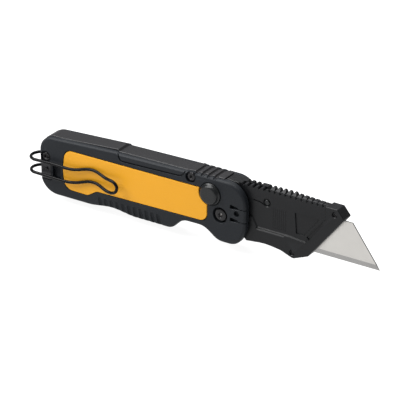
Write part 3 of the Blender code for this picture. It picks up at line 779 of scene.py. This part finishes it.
def near_face_cuts():
    """Detail in the near face: the release's hole and slit, recesses, fine grooves and a ledge."""
    face = CARRIER_Y
    slit = strip([(14.6, 10.1), (17.8, 9.9), (20.2, 9.0)], 0.28)
    window = fillet([(35.4, 9.4, 0.5), (48.2, 9.7, 0.5), (40.2, -0.7, 0.5), (36.2, -0.7, 0.4)])
    slant = fillet([(49.4, 8.6, 0.3), (50.0, 7.4, 0.3), (42.8, -1.9, 0.3), (41.4, -0.9, 0.3)])
    tools = [
        plate("release_seat", circle(*RELEASE, 2.1), [(-0.1, 0), (-1.5, 0)]),
        well("release_hole", circle(*RELEASE, 1.72, 32), -1, 1.0, face - 0.5, 0.3),
        plate("release_slit", slit, [(-2.1, 0), (-5, 0)]),
        plate("window", window, [(-face + 1.0, 0.25), (-face + 0.4, 0), (-face - 2, 0)]),
        well("slant", slant, -1, face - 0.9, face - 0.4, 0.08)]
    for index in range(7):
        x = 24.9 + index * 1.03
        tools.append(rod("fine_groove", (x, -face + 0.24, -0.9), (x, -face + 0.24, 8.6), 0.4, 16))
    ledge = [(-face + 0.8, -2.75), (-face - 0.4, -4.2), (-face - 0.4, -2.75)]
    tools.append(loft("ledge", [[(x, y, z) for y, z in ledge] for x in (16.2, 30.5)]))
    return tools


def near_face_step():
    """The shallow step that leaves a border along the near face's front and belly."""
    outline = fillet([(7.0, 1.6, 0), (7.0, 22, 0), (51.4, 22, 0), (51.0, 10.0, 1.5), (41.2, -3.6, 0.8),
                      (32.6, -2.9, 0), (16.7, -2.9, 0.8), (14.3, 1.6, 0)])
    return plate("face_step", outline, [(-CARRIER_Y + 0.5, 0.6), (-CARRIER_Y, 0),
                                        (-CARRIER_Y - 2.1, 0)])


def far_teeth_drop():
    """Lowers the front stretch of the far row of teeth."""
    outline = [Vector(p) for p in ((34.6, 16.2), (34.6, 19), (51.6, 19), (51.6, 15.3))]
    return plate("far_teeth_drop", outline, [(0.3, 0), (5, 0)])


def make_carrier_half(name, side):
    half = plate(f"carrier_half_{name}_detail", carrier_outline(side),
                 [(side * 0.02, 0), (side * (CARRIER_Y - 0.25), 0), (side * CARRIER_Y, 0.25)])
    gap = [Vector(p) for p in ((-20, -20), (-20, 15.3), (56.2, 15.3), (57.6, 12), (70, 12),
                               (70, -20))]
    cut(half, [plate("blade_gap", gap, [(side * -0.5, 0), (side * 0.6, 0)])])
    cut(half, carrier_cuts(side))
    cut(half, [valley()])
    if side < 0:
        cut(half, near_face_cuts())
        cut(half, [near_face_step()])
    else:
        cut(half, [far_teeth_drop()])
    finish(half, "carrier", LOOKS["carrier"], f"carrier_half_{name}")


def make_rivets():
    for name, (x, z) in (("front", FRONT_RIVET), ("lower", LOW_RIVET)):
        shank = [(0, 2.0), (0.4, 2.0), (0.62, 2.3), (0.85, 2.3), (0.95, 2.15), (0.95, 0)]
        full = shank + [(r, -h) for r, h in shank[-2::-1]]
        rivet = turned(f"{name}_rivet_detail", x, z, -1, full, 32)
        finish(rivet, "carrier", LOOKS["screw"], f"{name}_rivet")


def make_release():
    cap = [(0, 2.1), (0.7, 2.12), (0.95, 2.3), (1.15, 2.35), (1.3, 2.2), (1.3, 1.2), (1.8, 1.2),
           (1.8, 0.7), (0, 0.7)]
    release = turned("release_button_detail", *RELEASE, -1, cap, 40)
    finish(release, "release_button", LOOKS["button"], "release_button")


# ---------------------------------------------------------------- blade

def blade_outline():
    """The blade above its bevel, with two notches in its back."""
    heel_x = BLADE_TIP_X - BLADE_LENGTH
    middle = BLADE_TIP_X - BLADE_LENGTH / 2
    top = BLADE_EDGE_Z + BLADE_HEIGHT
    slope = (BLADE_LENGTH - BLADE_BACK) / 2
    run = slope * BEVEL / BLADE_HEIGHT
    notch_half, notch_floor = 1.1, top - 2.0
    notches = []
    for x in (middle - 3.3, middle + 3.3):
        rear, front = x - notch_half, x + notch_half
        notches += [(rear, top, 0), (rear, notch_floor, 0.5),
                    (front, notch_floor, 0.5), (front, top, 0)]
    rear_side = [(heel_x + run, BLADE_EDGE_Z + BEVEL, 0), (heel_x + slope, top, 0)]
    front_side = [(BLADE_TIP_X - slope, top, 0), (BLADE_TIP_X - run, BLADE_EDGE_Z + BEVEL, 0)]
    return clean(fillet(rear_side + notches + front_side))


def make_blade():
    """The trapezoid blade: two flat sides, a blanked rim, and a bevel ground to the edge."""
    outline = blade_outline()
    shape = bmesh.new()
    near = [shape.verts.new((p.x, -BLADE_HALF, p.y)) for p in outline]
    far = [shape.verts.new((p.x, BLADE_HALF, p.y)) for p in outline]
    shape.faces.new(near)
    shape.faces.new(far)
    rims = []
    for i in range(len(outline) - 1):
        rims.append(shape.faces.new((near[i], near[i + 1], far[i + 1], far[i])))
    heel, tip = [[shape.verts.new((x, y, BLADE_EDGE_Z)) for y in (-EDGE_HALF, EDGE_HALF)]
                 for x in (BLADE_TIP_X - BLADE_LENGTH, BLADE_TIP_X)]
    bevels = [shape.faces.new((near[0], near[-1], tip[0], heel[0])),
              shape.faces.new((far[-1], far[0], heel[1], tip[1])),
              shape.faces.new((heel[0], tip[0], tip[1], heel[1]))]
    rims.append(shape.faces.new((near[0], heel[0], heel[1], far[0])))
    rims.append(shape.faces.new((near[-1], far[-1], tip[1], tip[0])))
    shape.faces.index_update()
    looks = {face.index: 1 for face in bevels} | {face.index: 2 for face in rims}
    blade = link("blade_detail", shape)
    finish(blade, "blade", LOOKS["blade"], "blade", 3)
    # The bevel's darker steel is painted shade, for its duller reflection.
    blade.data.materials.append(LOOKS["edge"])
    blade.data.materials.append(LOOKS["blank_rim"])
    for index, look in looks.items():
        blade.data.polygons[index].material_index = look


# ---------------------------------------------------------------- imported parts

def dress_frame():
    """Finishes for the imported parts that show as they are."""
    looks = {"butt_block": "inner", "pivot_barrel": "screw", "spine_screw_nut": "screw",
             "pivot_washer_left": "brass", "pivot_washer_right": "brass", "lock_spring": "spring",
             "release_spring": "spring", "blade_frame": "steel", "blade_retainer": "spring",
             "lock_plunger": "steel"}
    for name, look in looks.items():
        for slot in frame["nodes"][name].material_slots:
            slot.material = LOOKS[look]


# ---------------------------------------------------------------- studio

def make_floor():
    """A pale floor, low enough that the folded carrier's back clears it too."""
    height = cad_box[0][2] - FLOOR_DROP * MM
    shape = bmesh.new()
    shape.faces.new([shape.verts.new((FLOOR_RADIUS * math.cos(a), FLOOR_RADIUS * math.sin(a), height))
                     for a in round_angles(FLOOR_SIDES)])
    floor = link("studio_floor", shape)
    paper = surface("floor_paper", (0.2, 0.2, 0.2), 0.9, grain_size=2.0, tone=0.01, specular=0.0)
    shader = paper.node_tree.nodes["Principled BSDF"]
    shader.inputs["Emission Color"].default_value = (1, 1, 1, 1)
    shader.inputs["Emission Strength"].default_value = FLOOR_GLOW
    floor.data.materials.append(paper)


def area_light(name, place, size, power):
    """A soft rectangular light that faces the origin."""
    lamp = bpy.data.lights.new(name, "AREA")
    lamp.shape = "RECTANGLE"
    lamp.size, lamp.size_y = size
    lamp.energy = power
    holder = bpy.data.objects.new(name, lamp)
    bpy.context.scene.collection.objects.link(holder)
    holder.location = place
    holder.rotation_euler = (-Vector(place)).to_track_quat("-Z", "Y").to_euler()


def make_studio():
    world = bpy.data.worlds.new("studio")
    world.use_nodes = True
    world.node_tree.nodes["Background"].inputs["Color"].default_value = (1, 1, 1, 1)
    world.node_tree.nodes["Background"].inputs["Strength"].default_value = WORLD_LIGHT
    scene = bpy.context.scene
    scene.world = world
    scene.view_settings.view_transform = "Standard"
    scene.view_settings.look = "None"
    area_light("overhead", place=(-0.15, 0.1, 0.65), size=(0.7, 0.5), power=7)
    area_light("key", place=(-0.48, -0.34, 0.58), size=(0.45, 0.45), power=7.4)


def make_camera():
    azimuth, elevation = math.radians(CAMERA_AZIMUTH), math.radians(CAMERA_ELEVATION)
    lens = bpy.data.cameras.new("camera")
    lens.lens = CAMERA_LENS
    lens.sensor_width = 36.0
    holder = bpy.data.objects.new("camera", lens)
    bpy.context.scene.collection.objects.link(holder)
    away = Vector((math.sin(azimuth) * math.cos(elevation),
                   -math.cos(azimuth) * math.cos(elevation),
                   math.sin(elevation)))
    holder.location = PIVOT + Vector(CAMERA_CENTRE) * MM + away * CAMERA_DISTANCE
    holder.rotation_euler = away.to_track_quat("Z", "Y").to_euler()
    bpy.context.scene.camera = holder


make_camera()
make_near_shell()
make_far_shell()
make_panels()
make_rail()
make_keeper()
make_fasteners()
make_button()
make_clip()
make_carrier_half("left", -1)
make_carrier_half("right", 1)
make_rivets()
make_release()
make_blade()
dress_frame()
make_floor()
make_studio()
